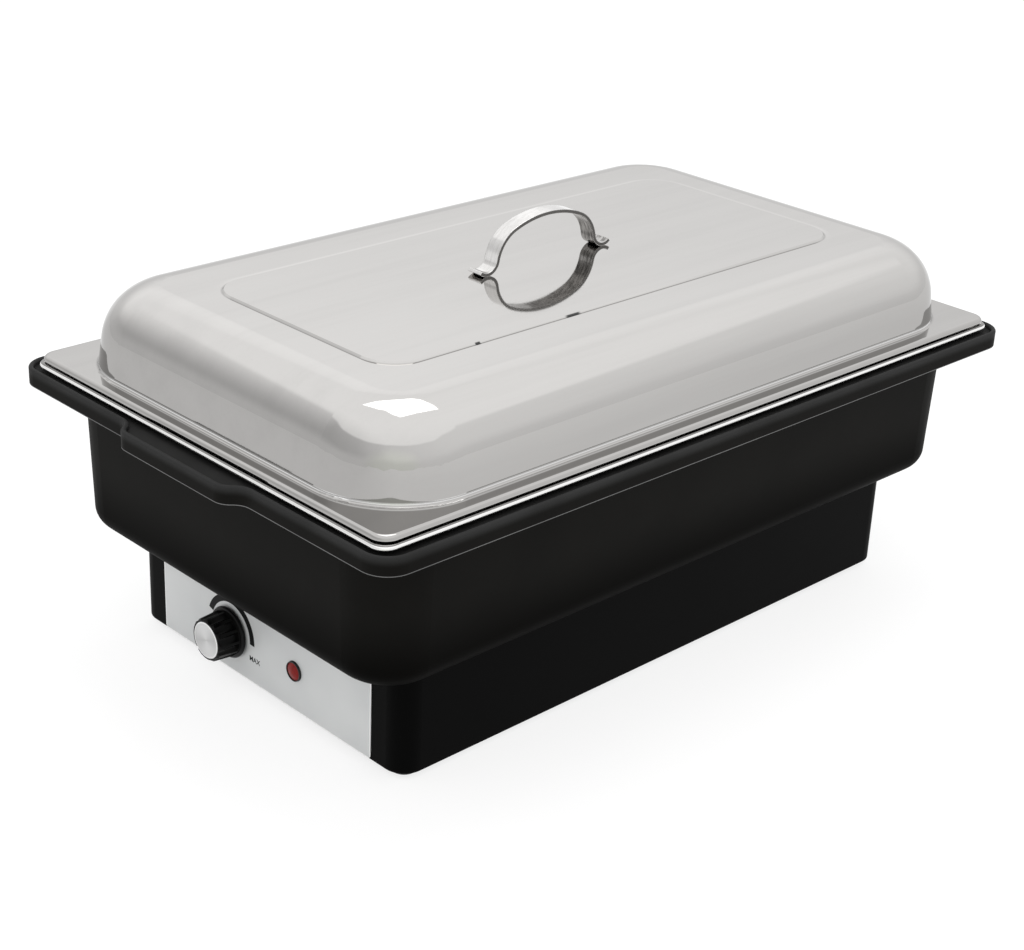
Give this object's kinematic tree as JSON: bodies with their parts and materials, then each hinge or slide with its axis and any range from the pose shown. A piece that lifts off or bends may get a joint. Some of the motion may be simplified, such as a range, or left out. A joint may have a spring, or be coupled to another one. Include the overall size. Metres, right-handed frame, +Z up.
{
  "type": "chafing dish",
  "caption": "Electric chafing dish: lift-off domed steel lid with strap handle, full-size food pan, black heated water tank, and a plinth with a heat knob and pilot lamp.",
  "frame": {"origin": "on the table under the middle of the dish, at the level of the feet", "axes": "+X along the dish away from the control plate, +Y across it towards the knob's side, +Z up"},
  "size_m": [0.5612, 0.341, 0.2639],
  "materials": {
    "polished_steel": "polished",
    "black_moulding": "satin",
    "silver_plate": "satin",
    "gloss_black": "gloss",
    "spun_metal": "spun",
    "brass": "satin",
    "cream_plastic": "matt",
    "red_lens": "gloss",
    "dark_ring": "gloss",
    "plain_steel": "plain",
    "seal_silicone": "matt",
    "element_sheath": "heat-darkened",
    "brown_wire": "satin",
    "blue_wire": "satin",
    "earth_wire": "satin",
    "black_rubber": "matt"
  },
  "bodies": {
    "base": {"water_tank": "black_moulding", "plinth": "black_moulding", "control_plate": "silver_plate", "heat_regulator": "cream_plastic", "regulator_screws": "plain_steel", "lamp_lens": "red_lens", "lamp_bezel": "dark_ring", "lamp_holder": "cream_plastic", "lamp_clip": "plain_steel", "heater_plate": "plain_steel", "plate_seal": "seal_silicone", "clamp_frame": "plain_steel", "plate_nuts": "plain_steel", "heating_element": "element_sheath", "element_clamps": "plain_steel", "thermal_cutout": "cream_plastic", "terminal_block": "cream_plastic", "appliance_inlet": "gloss_black", "inlet_pins": "brass", "inlet_screws": "plain_steel", "live_wire": "brown_wire", "neutral_wire": "blue_wire", "earth_wire": "earth_wire", "bottom_cover": "black_moulding", "cover_screws": "plain_steel", "tank_screws": "plain_steel", "rubber_feet": "black_rubber"},
    "pan": {"food_pan": "polished_steel"},
    "lid": {"lid_shell": "polished_steel", "lid_handle": "polished_steel"},
    "dial": {"knob": "gloss_black", "knob_cap": "spun_metal", "regulator_shaft": "brass"}
  },
  "joints": [
    {"name": "pan_lift", "type": "slide", "parent": "base", "child": "pan", "axis": [0, 0, 1], "range_m": [0, 0.12]},
    {"name": "lid_lift", "type": "slide", "parent": "pan", "child": "lid", "axis": [0, 0, 1], "range_m": [0, 0.15]},
    {"name": "dial_turn", "type": "hinge", "parent": "base", "child": "dial", "pos_m": [-0.2184, 0.031, 0.0315], "axis": [1, 0, 0], "range_deg": [0, 270]}
  ]
}
